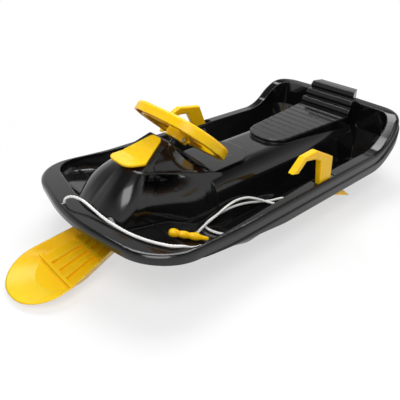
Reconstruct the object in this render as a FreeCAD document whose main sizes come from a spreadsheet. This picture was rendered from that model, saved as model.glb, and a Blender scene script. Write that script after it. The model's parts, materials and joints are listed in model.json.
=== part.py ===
import FreeCAD, Part
import math
import os
import re
from types import SimpleNamespace

import Sketcher
from FreeCAD import Placement, Rotation, Vector

# Steering sled: a moulded tub with a seat, a steered front ski, two hand brakes and a tow rope.
# Frame: +X forward, +Y to the driver's left, +Z up, millimetres, origin on the ground under the middle.

doc = FreeCAD.newDocument("SteeringSled")

SIZES = {
    # hull, plan of the rim
    "nose_x": 405, "tail_x": -533, "half_front": 258, "half_rear": 238,
    "nose_radius": 500, "front_corner_radius": 112, "rear_corner_radius": 82, "tail_radius": 800,
    "land_front": 54, "land_side": 31, "land_side_front": 8, "land_rear": 31,
    "waist_x": -124, "land_waist": 30.83, "waist_radius": 1500, "tub_front_radius": 72, "tub_rear_radius": 51,
    "wall": 4, "skirt_depth": 46, "skirt_front_depth": 20, "bead_depth": 24, "flare": 4, "rim_round": 9,
    # hull, height of the rim along its length
    "sheer_front_x": 450, "sheer_front_z": 145, "sheer_mid_x": 150, "sheer_mid_z": 122,
    "sheer_back_x": -405, "sheer_back_z": 118, "sheer_rise_x": -488, "sheer_rise_z": 190,
    "sheer_rear_x": -600, "sheer_rear_z": 204,
    "skirt_front_x": 340, "skirt_rear_x": 0, "skirt_radius": 300,
    "sheer_mid_radius": 800, "sheer_back_radius": 110, "sheer_rise_radius": 60,
    # tub walls and floor
    "wall_lean": 30, "foot_front_z": 137, "foot_floor_z": 88, "foot_floor_x": 205,
    "leg_floor_z": 24, "leg_floor_x": 70, "floor_radius": 70, "tub_round": 16,
    # runner keels and foot bars
    "keel_y": 150, "keel_width": 24, "keel_front_x": 15, "keel_rear_x": -410, "keel_rise": 34,
    "foot_bar_x": 240, "foot_bar_pitch": 66, "foot_bar_width": 6, "foot_bar_height": 4,
    "foot_bar_count": 2,
    # hood of the hull and the console cover on it
    "hood_low_z": 16, "hood_low_x": 508, "hood_low_half": 124, "hood_low_radius": 92,
    "hood_high_z": 215, "hood_high_x": 256, "hood_high_half": 56, "hood_high_radius": 42,
    "hood_rear_x": 25, "hood_rear_half": 120, "hood_rear_high_half": 39,
    "hood_top_z": 268, "hood_top_x": 190, "hood_top_half": 27, "hood_top_radius": 20,
    "hood_top_rear_half": 20,
    "part_front_x": 240, "part_front_z": 207, "part_rear_x": 30,
    "part_gap": 1, "cover_wall": 3, "ridge_x": 152, "ridge_z": 246, "ridge_round": 9,
    "tail_plate_x": -96, "tail_plate_half": 66, "tail_plate_thick": 7, "tail_plate_round": 58,
    "tail_plate_front_x": 48,
    "screw_diameter": 4, "screw_head": 8, "screw_head_thick": 3, "screw_bite": 6, "screw_boss": 12,
    "screw_front_x": 205, "screw_front_y": 38, "screw_rear_x": -45, "screw_rear_y": 28,
    "visor_thick": 4.5, "visor_top_x": 159, "visor_crease_x": 224, "visor_lip_x": 268, "visor_lip_rise": 5,
    "visor_top_half": 17, "visor_half": 45, "visor_lip_half": 36, "visor_lip_round": 26, "visor_round": 20,
    "visor_top_round": 12, "visor_peg": 6, "visor_peg_x": 195, "visor_peg_y": 16, "visor_peg_reach": 9,
    # tunnel and seat
    "tunnel_half_low": 120, "tunnel_half_high": 86, "tunnel_z": 140, "tunnel_round": 52, "tunnel_front_x": 62,
    "tunnel_rear_x": -480,
    "seat_front_x": -176, "seat_rear_x": -462, "seat_front_z": 147, "seat_rear_z": 154,
    "seat_half": 84, "seat_front_half": 58, "seat_step": 3, "seat_step_count": 11, "seat_oval": 52,
    "seat_base_z": 100,
    "back_x": -505, "back_z": 220, "back_depth": 17, "back_half": 64, "back_wave": 9, "back_wave_count": 3,
    # steering column
    "wheel_x": 91, "wheel_z": 244, "steer_tilt": 43,
    "shaft_diameter": 16, "shaft_top": 6, "shaft_end": 226, "run_gap": 0.06, "seat_gap": 0.1, "end_play": 0.3,
    "sleeve_top": 84, "sleeve_end": 186, "sleeve_diameter": 34, "web": 4, "web_low_z": 116,
    "bush_diameter": 22, "bush_length": 22, "bush_flange": 4, "bush_flange_diameter": 32,
    "clip_thick": 2, "clip_diameter": 26, "clip_groove": 1, "washer_thick": 2, "washer_diameter": 30,
    "collar_thick": 5, "collar_diameter": 26, "cover_hole": 38,
    # steering wheel
    "wheel_half_wide": 125, "wheel_half_deep": 92, "wheel_corner": 84, "ring_width": 25, "ring_deep": 24,
    "ring_round": 8, "ring_wall": 5, "channel_deep": 14,
    "hub_diameter": 56, "hub_top": 12, "hub_end": 26, "spoke_width": 44, "spoke_deep": 13,
    "cap_diameter": 44, "cap_flat": 29, "cap_thick": 5, "cap_edge": 2.5,
    "bolt_diameter": 6, "bolt_head": 11, "bolt_head_thick": 4, "nut_width": 11, "nut_thick": 5,
    "hub_grip": 40, "hub_bolt_level": 18, "counterbore": 15, "bolt_lead": 2,
    # ski, drawn about its cross bolt
    "ski_level": 216, "ski_pitch": 14, "ski_depth": 26.5, "ski_flare": 16, "ski_tip_flare": 68,
    "ski_wall": 4, "ski_sole": 5,
    "ski_rear_x": -40, "ski_rear_half": 42, "ski_rear_round": 24, "ski_tip_x": 315, "ski_tip_half": 107,
    "ski_rib_width": 9, "ski_rib_drop": 14, "ski_rib_rear_y": 11, "ski_rib_front_y": 34,
    "ski_ridge_rear_x": 129, "ski_ridge_front_x": 212, "ski_ridge_width": 8,
    "lug_thick": 8, "lug_foot": 30, "lug_top": 13, "lug_round": 12,
    # brakes
    "brake_reach": 128, "brake_height": 114, "claw_reach": 128, "claw_drop": 72,
    "brake_x": -162, "brake_z": 98, "brake_thick": 18, "brake_inset": 19.26, "brake_pin": 8,
    "brake_pin_head": 14, "brake_pin_head_thick": 3, "brake_boss": 18, "brake_boss_reach": 12.5,
    "brake_side_gap": 0.5, "brake_round": 4, "brake_lean": 18, "slot_rear": 38, "slot_front": 31, "slot_gap": 1.5,
    # tow rope, its knot and its pull handle
    "rope_diameter": 6, "rope_hole": 11, "knot_diameter": 17, "knot_length": 14, "knot_taper": 4,
    "handle_length": 85, "handle_diameter": 19, "handle_neck": 11, "handle_neck_reach": 22,
    "overrun": 100,
}

sheet = doc.addObject("Spreadsheet::Sheet", "Sizes")
for row, (name, value) in enumerate(SIZES.items(), start=1):
    sheet.set(f"A{row}", name)
    sheet.set(f"B{row}", str(value))
    sheet.setAlias(f"B{row}", name)
doc.recompute()
s = SimpleNamespace(**{name: float(sheet.get(name)) for name in SIZES})

nose_rake_share = 0.2
tail_rake_share = 0.035
hood_rake_share = 0.12
hood_nose_share = 1.35
back_wave_shares = (0.3, 0.75)
ski_tip_share = 0.8
flat_share = 0.5
handle_lobe_shares = [
    (0.0, 0.0), (0.0, 0.55), (0.05, 0.9), (0.12, 1.0), (0.19, 0.9), (0.25, 0.66), (0.31, 0.78), (0.38, 0.88),
    (0.45, 0.8), (0.51, 0.66), (0.58, 0.82), (0.66, 0.9), (0.74, 0.8), (0.82, 0.55), (0.92, 0.5), (1.0, 0.36),
    (1.0, 0.0)]

# Route of the tow rope: up through its hole, along the front land, down into the tub and back to the handle
ROPE = [
    (377, -52, 118), (377, -52, 146), (365, -36, 159), (352, -10, 156), (349, 28, 149),
    (347.5, 66, 144.5), (341, 104, 141), (335, 140, 140.5), (325, 171, 139.9), (310, 201, 139),
    (294, 225, 138.3), (274.5, 231.5, 133.5), (256, 226, 117.5), (234, 219.5, 103), (206, 214.5, 94),
    (178, 211.5, 81), (148, 209.5, 69.5), (116, 209, 64.5), (85, 208.4, 59.6), (74.4, 201, 53.4),
    (71.2, 189.1, 46.3), (76.6, 177.2, 40.9), (88.6, 169.8, 39.6), (103, 165.5, 45.5), (116, 160, 51),
    (126, 151, 56), (130.2, 137, 58), (126, 123, 56), (114.5, 114.5, 53.5), (95, 111, 56.5),
    (66, 112, 61.5), (40, 112.5, 63.3), (12, 112.3, 60.5), (-16, 113.2, 55.5), (-44, 114.7, 48.3),
    (-72, 117.7, 40), (-104, 121.5, 31.5), (-133, 125.7, 29), (-144.7, 133.7, 28.5),
    (-149.1, 147.3, 28.5), (-144.7, 160.9, 28.7), (-133.1, 169, 29.5), (-113, 169, 32.5),
    (-97, 155.5, 37.5), (-81, 139.5, 43), (-66, 125, 49), (-50, 116, 57), (-30, 112.3, 66),
    (-8, 110.5, 71.5), (14, 110, 74), (38, 111.5, 72.5), (60, 115, 70), (82, 120, 68),
    (106, 124.5, 66.5), (132, 132, 67.5), (154, 143, 71.5), (173, 156.5, 80), (191, 170.4, 89.4),
]
HANDLE = [(250.2, 153.2, 112.8), (182.7, 199.0, 88.9)]

top_z = s.back_z + s.overrun
low_z = -s.overrun
across = s.half_front + s.overrun
UP = Vector(0, 0, 1)
LEFT = Vector(0, 1, 0)


def rounded_wire(points, radii):
    """Closed wire through the points, each corner rounded by its radius (0 keeps it sharp)."""
    corners = []
    for i, point in enumerate(points):
        back = (points[i - 1] - point).normalize()
        ahead = (points[(i + 1) % len(points)] - point).normalize()
        if radii[i] == 0:
            corners.append((point, None, point))
            continue
        half_angle = back.getAngle(ahead) / 2
        middle = (back + ahead).normalize()
        centre = point + middle * (radii[i] / math.sin(half_angle))
        reach = radii[i] / math.tan(half_angle)
        corners.append((point + back * reach, centre - middle * radii[i], point + ahead * reach))
    edges = []
    for i, (start, top, end) in enumerate(corners):
        if top is not None:
            edges.append(Part.Arc(start, top, end).toShape())
        edges.append(Part.LineSegment(end, corners[(i + 1) % len(corners)][0]).toShape())
    return Part.Wire(edges)


def mirrored_outline(z, ends, half):
    """Points of a plan outline: the nose, its left half, the tail where there is one, its right half."""
    left = [Vector(x, y, z) for x, y in half]
    right = [Vector(p.x, -p.y, p.z) for p in reversed(left)]
    nose = [Vector(ends[0], 0, z)] if ends[0] is not None else []
    tail = [Vector(ends[1], 0, z)] if ends[1] is not None else []
    return nose + left + tail + right


def side_slab(points, radii, half_width):
    """Side-view outline (x, z pairs) made solid across the sled."""
    wire = rounded_wire([Vector(x, -half_width, z) for x, z in points], radii)
    return Part.Face(wire).extrude(Vector(0, 2 * half_width, 0))


def plan_slab(wire, height):
    return Part.Face(wire).extrude(Vector(0, 0, height))


def cross_rod(radius, x, z, y_from, y_to):
    """Rod across the sled."""
    return Part.makeCylinder(radius, y_to - y_from, Vector(x, y_from, z), LEFT)


def normal_of(face):
    u0, u1, v0, v1 = face.ParameterRange
    return face.normalAt((u0 + u1) / 2, (v0 + v1) / 2)


def rounded_brink(shape, radius, up):
    """Round every edge between a wall and a face that looks up (up = 1) or down (up = -1)."""
    looks = [(face, normal_of(face).z * up > flat_share) for face in shape.Faces]
    brink = []
    for edge in shape.Edges:
        sides = [flat for face, flat in looks if any(edge.isSame(other) for other in face.Edges)]
        if sides.count(True) == 1 and len(sides) == 2:
            brink.append(edge)
    return shape.makeFillet(radius, brink)


def solid_part(label, shape):
    part = doc.addObject("Part::Feature", label)
    part.Label = label
    part.Shape = shape
    return part


# Sketches bound to the sheet

def value_of(expression):
    result = sheet.evalExpression(expression)
    return float(getattr(result, "Value", result))


def sized(expression):
    """Expression with every name of the sheet written in full."""
    return re.sub(r"[a-z_]+", lambda word: f"Sizes.{word[0]}" if word[0] in SIZES else word[0], expression)


def plane_of(body, role):
    return next(plane for plane in body.Origin.OriginFeatures if plane.Role == role)


def outline_sketch(body, name, role, points):
    """Closed sketch of straight sides whose corners are bound to expressions of the sheet."""
    sketch = body.newObject("Sketcher::SketchObject", name)
    sketch.AttachmentSupport = [(plane_of(body, role), "")]
    sketch.MapMode = "FlatFace"
    bound = [(sized(across_text), sized(up_text)) for across_text, up_text in points]
    places = [Vector(value_of(a), value_of(b), 0) for a, b in bound]
    for i, place in enumerate(places):
        sketch.addGeometry(Part.LineSegment(place, places[(i + 1) % len(places)]), False)
    for i in range(len(places)):
        sketch.addConstraint(Sketcher.Constraint("Coincident", i, 2, (i + 1) % len(places), 1))
    for i, (a, b) in enumerate(bound):
        for kind, text, start in (("DistanceX", a, places[i].x), ("DistanceY", b, places[i].y)):
            index = sketch.addConstraint(Sketcher.Constraint(kind, -1, 1, i, 1, start))
            sketch.setExpression(f"Constraints[{index}]", text)
    return sketch


def bore(body, name, role, level, radius):
    """Round hole through a body, square to a plane of its origin, its middle at a level of that plane."""
    circle = body.newObject("Sketcher::SketchObject", f"{body.Label}_{name}_circle")
    circle.AttachmentSupport = [(plane_of(body, role), "")]
    circle.MapMode = "FlatFace"
    middle = value_of(sized(level))
    circle.addGeometry(Part.Circle(Vector(0, middle, 0), UP, value_of(sized(radius))), False)
    if middle == 0:
        circle.addConstraint(Sketcher.Constraint("Coincident", 0, 3, -1, 1))
    else:
        circle.addConstraint(Sketcher.Constraint("PointOnObject", 0, 3, -2))
        index = circle.addConstraint(Sketcher.Constraint("DistanceY", -1, 1, 0, 3, middle))
        circle.setExpression(f"Constraints[{index}]", sized(level))
    index = circle.addConstraint(Sketcher.Constraint("Radius", 0, value_of(sized(radius))))
    circle.setExpression(f"Constraints[{index}]", sized(radius))
    hole = body.newObject("PartDesign::Pocket", f"{body.Label}_{name}")
    hole.Profile = circle
    hole.Type = "ThroughAll"
    hole.Midplane = True
    return hole


def turned_part(label, profile, placement=Placement()):
    """Body turned about its own Z axis from a profile of (radius, height) pairs."""
    body = doc.addObject("PartDesign::Body", label)
    body.Label = label
    sketch = outline_sketch(body, f"{label}_profile", "XZ_Plane", profile)
    turn = body.newObject("PartDesign::Revolution", f"{label}_turn")
    turn.Profile = sketch
    turn.ReferenceAxis = (sketch, ["V_Axis"])
    body.Placement = placement
    return body


column = Placement(Vector(s.wheel_x, 0, s.wheel_z), Rotation(LEFT, -s.steer_tilt))


def column_rod(radius, top, end):
    """Rod on the steering axis between two levels measured down from the wheel's centre."""
    rod = Part.makeCylinder(radius, end - top, Vector(0, 0, -end))
    rod.Placement = column
    return rod


def column_cross(level):
    """Placement whose Z axis crosses the steering axis at a level, pointing to the driver's left."""
    return column.multiply(Placement(Vector(0, 0, -level), Rotation(Vector(1, 0, 0), -90)))


# Hull: rim, tub, hood, tunnel and seat in one moulding

def plan_wire(z, front, side, rear):
    """Rim outline at height z, drawn in by the given distances at the front, sides and rear."""
    nose = s.nose_x - front
    tail = s.tail_x + rear
    wide = s.half_front - side
    narrow = s.half_rear - side
    half = [(nose - nose_rake_share * wide, wide), (tail + tail_rake_share * narrow, narrow)]
    front_round = s.front_corner_radius - side
    rear_round = s.rear_corner_radius - side
    radii = [s.nose_radius - front, front_round, rear_round, s.tail_radius, rear_round, front_round]
    return rounded_wire(mirrored_outline(z, (nose, tail), half), radii)


def rim_half(x):
    """Half width of the rim at a place along its straight side."""
    front_x = s.nose_x - nose_rake_share * s.half_front
    rear_x = s.tail_x + tail_rake_share * s.half_rear
    return s.half_rear + (s.half_front - s.half_rear) * (x - rear_x) / (front_x - rear_x)


brake_y = rim_half(s.brake_x) - s.brake_inset


def prism(inset):
    return plan_slab(plan_wire(low_z, inset, inset, inset), top_z - low_z)


def below_sheer(drop):
    line = [(s.sheer_front_x, s.sheer_front_z), (s.sheer_mid_x, s.sheer_mid_z),
            (s.sheer_back_x, s.sheer_back_z), (s.sheer_rise_x, s.sheer_rise_z),
            (s.sheer_rear_x, s.sheer_rear_z)]
    points = [(x, z - drop) for x, z in line] + [(s.sheer_rear_x, low_z), (s.sheer_front_x, low_z)]
    radii = [0, s.sheer_mid_radius, s.sheer_back_radius, s.sheer_rise_radius, 0, 0, 0]
    return side_slab(points, radii, across)


def sheer_z(x):
    """Height of the rim on its straight run ahead of the sheer's middle, carried on behind it."""
    slope = (s.sheer_front_z - s.sheer_mid_z) / (s.sheer_front_x - s.sheer_mid_x)
    return s.sheer_mid_z + max(slope * (x - s.sheer_mid_x), 0)


def below_skirt():
    """Everything under the skirt's lower edge, which climbs towards the nose."""
    points = [(s.sheer_front_x, s.sheer_front_z - s.skirt_front_depth),
              (s.skirt_front_x, sheer_z(s.skirt_front_x) - s.skirt_front_depth),
              (s.skirt_rear_x, sheer_z(s.skirt_rear_x) - s.skirt_depth),
              (s.sheer_back_x, s.sheer_back_z - s.skirt_depth),
              (s.sheer_rise_x, s.sheer_rise_z - s.skirt_depth),
              (s.sheer_rear_x, s.sheer_rear_z - s.skirt_depth),
              (s.sheer_rear_x, low_z), (s.sheer_front_x, low_z)]
    radii = [0, s.skirt_radius, s.skirt_radius, s.sheer_back_radius, s.sheer_rise_radius, 0, 0, 0]
    return side_slab(points, radii, across)


def above_floor(drop):
    points = [(s.sheer_front_x, s.foot_front_z - drop), (s.foot_floor_x, s.foot_floor_z - drop),
              (s.leg_floor_x, s.leg_floor_z - drop), (s.sheer_rear_x, s.leg_floor_z - drop),
              (s.sheer_rear_x, top_z), (s.sheer_front_x, top_z)]
    return side_slab(points, [0, s.floor_radius, s.floor_radius, 0, 0, 0], across)


def tub_wire(z, inset):
    """Plan of the tub's mouth, drawn in by an inset: its side lands widen from the front to the brakes."""
    nose = s.nose_x - s.land_front - inset
    tail = s.tail_x + s.land_rear + inset
    wide = s.half_front - s.land_side_front - inset
    narrow = s.half_rear - s.land_side - inset
    half = [(nose - nose_rake_share * wide, wide), (s.waist_x, rim_half(s.waist_x) - s.land_waist - inset),
            (tail + tail_rake_share * narrow, narrow)]
    corners = [s.tub_front_radius - inset, s.waist_radius, s.tub_rear_radius - inset]
    radii = [s.nose_radius - inset] + corners + [s.tail_radius] + corners[::-1]
    return rounded_wire(mirrored_outline(z, (nose, tail), half), radii)


def tub_loft(grow):
    """Leg room of the tub; grow takes it out to the outer face of the wall."""
    base_z = s.leg_floor_z - 2 * s.wall
    lean = s.wall_lean * (s.sheer_back_z - base_z) / (s.sheer_back_z - s.leg_floor_z)
    low = tub_wire(base_z, lean - grow)
    return Part.makeLoft([low, tub_wire(s.sheer_back_z, -grow), tub_wire(top_z, -grow)], True, True)


def hood_wire(z, nose, half, radius, rear_half, inset):
    half_points = [(nose - inset - hood_rake_share * (half - inset), half - inset),
                   (s.hood_rear_x, rear_half - inset)]
    corner = radius - inset
    radii = [corner * hood_nose_share, corner, 0, 0, corner]
    return rounded_wire(mirrored_outline(z, (nose - inset, None), half_points), radii)


def hood_loft(inset):
    """Hood from under the floor to above the console ridge."""
    sections = [
        hood_wire(s.hood_low_z, s.hood_low_x, s.hood_low_half, s.hood_low_radius, s.hood_rear_half, inset),
        hood_wire(s.hood_high_z, s.hood_high_x, s.hood_high_half, s.hood_high_radius,
                  s.hood_rear_high_half, inset),
        hood_wire(s.hood_top_z, s.hood_top_x, s.hood_top_half, s.hood_top_radius,
                  s.hood_top_rear_half, inset)]
    return Part.makeLoft(sections, True, True)


part_slope = (s.part_front_z - s.tunnel_z) / (s.part_front_x - s.part_rear_x)
part_angle = math.degrees(math.atan(part_slope))


def part_z(x):
    """Height of the parting plane between the hood and the console cover."""
    return s.tunnel_z + part_slope * (x - s.part_rear_x)


def below_parting(drop):
    front_x = s.sheer_front_x
    rear_x = s.hood_rear_x - s.overrun
    points = [(front_x, part_z(front_x) - drop), (rear_x, part_z(rear_x) - drop),
              (rear_x, low_z), (front_x, low_z)]
    return side_slab(points, [0, 0, 0, 0], across)


def tunnel_arch(inset, front_x, rear_x):
    low_half = s.tunnel_half_low - inset
    high_half = s.tunnel_half_high - inset
    z = s.tunnel_z - inset
    points = [Vector(rear_x, -low_half, 0), Vector(rear_x, -high_half, z),
              Vector(rear_x, high_half, z), Vector(rear_x, low_half, 0)]
    radius = s.tunnel_round - inset
    wire = rounded_wire(points, [0, radius, radius, 0])
    return Part.Face(wire).extrude(Vector(front_x - rear_x, 0, 0))


def seat_plan(inset):
    rear_x = s.back_x - s.back_depth + inset
    half = [(s.seat_front_x - inset, s.seat_front_half - inset),
            (s.seat_rear_x - s.wall, s.seat_half - inset), (rear_x, s.back_half - inset)]
    oval = s.seat_oval - inset
    wire = rounded_wire(mirrored_outline(0, (None, None), half), [oval, 0, 0, 0, 0, oval])
    return plan_slab(wire, top_z)


def seat_profile():
    """Side view of the stepped seat and the corrugated back."""
    pitch = (s.seat_rear_x - s.seat_front_x) / s.seat_step_count
    rise = (s.seat_rear_z - s.seat_front_z) / s.seat_step_count
    ahead_x = s.seat_front_x + s.overrun
    points = [(ahead_x, s.seat_base_z), (ahead_x, s.seat_front_z)]
    for i in range(int(s.seat_step_count)):
        if i > 0:
            points.append((s.seat_front_x + i * pitch, s.seat_front_z + i * rise))
        points.append((s.seat_front_x + (i + 1) * pitch, s.seat_front_z + (i + 1) * rise + s.seat_step))
    wave_x = (s.back_x - s.seat_rear_x) / s.back_wave_count
    wave_z = (s.back_z - s.seat_rear_z) / s.back_wave_count
    slope = math.hypot(wave_x, wave_z)
    out_x = s.back_wave * wave_z / slope
    out_z = -s.back_wave * wave_x / slope
    for i in range(int(s.back_wave_count)):
        foot_x = s.seat_rear_x + i * wave_x
        foot_z = s.seat_rear_z + i * wave_z
        if i > 0:
            points.append((foot_x, foot_z))
        for share in back_wave_shares:
            points.append((foot_x + share * wave_x + out_x, foot_z + share * wave_z + out_z))
    behind_x = s.back_x - s.overrun
    return points + [(s.back_x, s.back_z), (behind_x, s.back_z), (behind_x, s.seat_base_z)]


def make_hull():
    rim = rounded_brink(prism(0).common(below_sheer(0)), s.rim_round, 1)
    rim = rim.fuse(rounded_brink(prism(-s.flare).common(below_sheer(s.bead_depth)), s.flare, 1))
    hollow = rounded_brink(prism(s.wall).common(below_sheer(s.wall)), s.rim_round - s.wall, 1)
    hollow = hollow.fuse(prism(s.wall - s.flare).common(below_sheer(s.bead_depth + s.wall)))
    flange = rim.cut(hollow).cut(below_skirt())
    room = rounded_brink(tub_loft(0).common(above_floor(0)), s.tub_round, -1)
    envelope = tub_loft(s.wall).common(above_floor(s.wall))
    shell = rounded_brink(envelope, s.tub_round + s.wall, -1)
    tub = shell.common(below_sheer(0)).fuse(flange).cut(room)

    hood = hood_loft(0).common(below_parting(0))
    tunnel = tunnel_arch(0, s.tunnel_front_x, s.tunnel_rear_x)
    profile = seat_profile()
    seat = side_slab(profile, [0] * len(profile), across).common(seat_plan(0))
    spine = hood.fuse([tunnel]).common(envelope).fuse(seat)

    hood_room = hood_loft(s.wall).common(below_parting(s.wall)).common(tub_loft(0))
    tunnel_room = tunnel_arch(s.wall, s.tunnel_front_x - s.wall, s.tunnel_rear_x)
    low_box = Part.makeBox(s.tunnel_front_x - s.tunnel_rear_x, 2 * (s.tunnel_half_low - s.wall), s.overrun,
                           Vector(s.tunnel_rear_x, s.wall - s.tunnel_half_low, -s.overrun))
    back_top = s.back_z - s.wall
    back_rear = s.back_x - s.back_depth + s.wall
    inside = [(s.seat_front_x - s.wall, s.seat_base_z), (s.seat_front_x - s.wall, s.seat_front_z - s.wall),
              (s.seat_rear_x - s.wall, s.seat_rear_z - s.wall), (s.back_x - s.wall, back_top),
              (back_rear, back_top), (back_rear, s.seat_rear_z), (s.seat_rear_x - s.wall, s.seat_base_z)]
    seat_room = side_slab(inside, [0] * len(inside), across).common(seat_plan(s.wall))
    hull = tub.fuse(spine).cut(hood_room.fuse([tunnel_room, low_box, seat_room]))

    # Steering sleeve under the hood, carried by a lengthwise and a crosswise web
    webs = Part.makeBox(2 * s.sheer_front_x, s.web, top_z, Vector(-s.sheer_front_x, -s.web / 2, s.web_low_z))
    cross_web = Part.makeBox(s.web, 2 * across, s.sleeve_end - s.sleeve_top,
                             Vector(-s.web / 2, -across, -s.sleeve_end))
    cross_web.Placement = column
    webs = webs.fuse(cross_web.common(above_floor(s.wall))).common(hood_room)
    keep = side_slab([(s.part_rear_x, s.web_low_z), (s.part_rear_x, top_z), (s.sheer_front_x, top_z),
                      (s.sheer_front_x, s.web_low_z)], [0, 0, 0, 0], across)
    sleeve = column_rod(s.sleeve_diameter / 2, s.sleeve_top, s.sleeve_end)
    tube = column_rod(s.bush_diameter / 2 + s.seat_gap, s.sleeve_top - s.overrun, s.sleeve_end + s.overrun)
    flange_radius = s.bush_flange_diameter / 2 + s.seat_gap
    seats = [column_rod(flange_radius, s.sleeve_top - s.overrun, s.sleeve_top),
             column_rod(flange_radius, s.sleeve_end, s.sleeve_end + s.overrun)]
    hull = hull.fuse([webs.common(keep), sleeve]).cut([tube] + seats)

    # Runner keels under the leg wells
    for side in (-1, 1):
        keel = [(s.keel_front_x, 0), (s.keel_rear_x, 0), (s.keel_rear_x - s.keel_rise, s.leg_floor_z),
                (s.keel_front_x + s.keel_rise, s.leg_floor_z)]
        bar = side_slab(keel, [s.keel_rise, s.keel_rise, 0, 0], s.keel_width / 2)
        bar.translate(Vector(0, side * s.keel_y, 0))
        feet = []
        for i in range(int(s.foot_bar_count)):
            place = Vector(s.foot_bar_x + i * s.foot_bar_pitch, min(0, side * across), low_z)
            foot = Part.makeBox(s.foot_bar_width, across, top_z - low_z, place).common(envelope)
            feet.append(foot.cut([above_floor(-s.foot_bar_height), hood_room]))
        hull = hull.fuse([bar.cut(room)] + feet)

    # Brake slots, pin bosses and pin holes
    for side in (-1, 1):
        low_y = brake_y - s.brake_thick / 2
        high_y = brake_y + s.brake_thick / 2
        slot = Part.makeBox(s.slot_rear + s.slot_front, s.brake_thick + 2 * s.slot_gap, s.overrun,
                            Vector(s.brake_x - s.slot_rear, low_y - s.slot_gap, s.brake_z + s.brake_boss / 2))
        inner = cross_rod(s.brake_boss / 2, s.brake_x, s.brake_z,
                          low_y - s.brake_boss_reach, low_y - s.brake_side_gap)
        outer = cross_rod(s.brake_boss / 2, s.brake_x, s.brake_z,
                          high_y + s.brake_side_gap, rim_half(s.brake_x))
        outer = outer.common(prism(s.wall / 2))
        hole = cross_rod(s.brake_pin / 2 + s.seat_gap, s.brake_x, s.brake_z,
                         low_y - s.overrun, high_y + s.wall)
        group = [slot, inner, outer, hole]
        if side < 0:
            group = [shape.mirror(Vector(0, 0, 0), LEFT) for shape in group]
        slot, inner, outer, hole = group
        hull = hull.fuse([inner, outer]).cut(slot).cut(hole)
    hull = hull.cut(screw_holes())
    rope_hole = Part.makeCylinder(s.rope_hole / 2, s.overrun, Vector(*ROPE[0]))
    return solid_part("hull", hull.cut(rope_hole))


# Console cover with its tail plate, the visor on it and the screws that hold it from below

front_slope = (s.ridge_z - s.part_front_z) / (s.part_front_x - s.ridge_x)


def front_z(x):
    """Height of the sloping front of the console cover."""
    return s.ridge_z - front_slope * (x - s.ridge_x)


def cover_slab():
    """Wedge between the parting plane, the front slope and the face square to the steering axis."""
    rear_slope = math.tan(math.radians(s.steer_tilt))
    gap_z = s.ridge_z - s.tunnel_z - rear_slope * s.ridge_x + part_slope * s.part_rear_x
    meet_x = gap_z / (part_slope - rear_slope)
    points = [(meet_x, part_z(meet_x)), (s.ridge_x, s.ridge_z), (s.part_front_x, s.part_front_z)]
    return side_slab(points, [0, s.ridge_round, 0], across)


def screw_places():
    """Placements of the console screws, Z along the screw, at the face where hood and cover meet."""
    tilted = Rotation(LEFT, -part_angle)
    places = []
    for side in (-1, 1):
        front = Vector(s.screw_front_x, side * s.screw_front_y, part_z(s.screw_front_x))
        rear = Vector(s.screw_rear_x, side * s.screw_rear_y, s.tunnel_z)
        places += [Placement(front, tilted), Placement(rear, Rotation())]
    return places


def placed_rod(radius, low, high, place):
    rod = Part.makeCylinder(radius, high - low, Vector(0, 0, low))
    rod.Placement = place
    return rod


def screw_holes():
    radius = s.screw_diameter / 2 + s.seat_gap
    reach = s.screw_bite + s.seat_gap
    return [placed_rod(radius, -s.overrun / 2, reach, place) for place in screw_places()]


def make_cover():
    slab = cover_slab()
    outer = hood_loft(s.part_gap).common(slab)
    slab.translate(Vector(0, 0, -s.cover_wall / math.cos(math.radians(s.steer_tilt))))
    cover = outer.cut(hood_loft(s.part_gap + s.cover_wall).common(slab))
    half = [(s.tail_plate_front_x, s.tail_plate_half), (s.tail_plate_x, s.tail_plate_half)]
    radii = [0, s.tail_plate_round, s.tail_plate_round, 0]
    wire = rounded_wire(mirrored_outline(s.tunnel_z, (None, None), half), radii)
    plate = plan_slab(wire, s.tail_plate_thick).cut(below_parting(0))
    front_screws = screw_places()[0::2]
    bosses = [placed_rod(s.screw_boss / 2, 0, s.overrun, place).common(outer) for place in front_screws]
    cover = cover.fuse([plate] + bosses)
    column_hole = column_rod(s.cover_hole / 2, 0, s.sleeve_top)
    cover = cover.cut([column_hole] + screw_holes() + visor_pegs(s.seat_gap))
    return solid_part("console_cover", cover.removeSplitter())


def visor_pegs(grow):
    place_z = front_z(s.visor_peg_x)
    rods = []
    for side in (-1, 1):
        foot = Vector(s.visor_peg_x, side * s.visor_peg_y, place_z - s.visor_peg_reach - grow)
        length = s.visor_peg_reach + s.visor_thick / 2 + grow
        rods.append(Part.makeCylinder(s.visor_peg / 2 + grow, length, foot))
    return rods


def make_visor():
    top = [(s.visor_top_x, front_z(s.visor_top_x)), (s.visor_crease_x, front_z(s.visor_crease_x)),
           (s.visor_lip_x, front_z(s.visor_crease_x) + s.visor_lip_rise)]
    low = [(x, z + s.seat_gap) for x, z in top]
    high = [(x, z + s.visor_thick) for x, z in reversed(top)]
    sheet_slab = side_slab(low + high, [0] * (len(low) + len(high)), across)
    half = [(s.visor_lip_x, s.visor_lip_half), (s.visor_crease_x, s.visor_half),
            (s.visor_top_x, s.visor_top_half)]
    radii = [s.visor_lip_round, s.visor_round, s.visor_top_round]
    wire = rounded_wire(mirrored_outline(0, (None, None), half), radii + radii[::-1])
    visor = sheet_slab.common(plan_slab(wire, top_z)).fuse(visor_pegs(0))
    return solid_part("console_visor", visor.removeSplitter())


def make_screws():
    screws = []
    for place in screw_places():
        skin = s.wall * math.cos(place.Rotation.Angle)
        shank = placed_rod(s.screw_diameter / 2, -skin, s.screw_bite, place)
        head = placed_rod(s.screw_head / 2, -skin - s.screw_head_thick, -skin, place)
        screws.append(shank.fuse(head))
    part = doc.addObject("Part::Feature", "console_screws")
    part.Shape = Part.makeCompound(screws)
    return part


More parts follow.
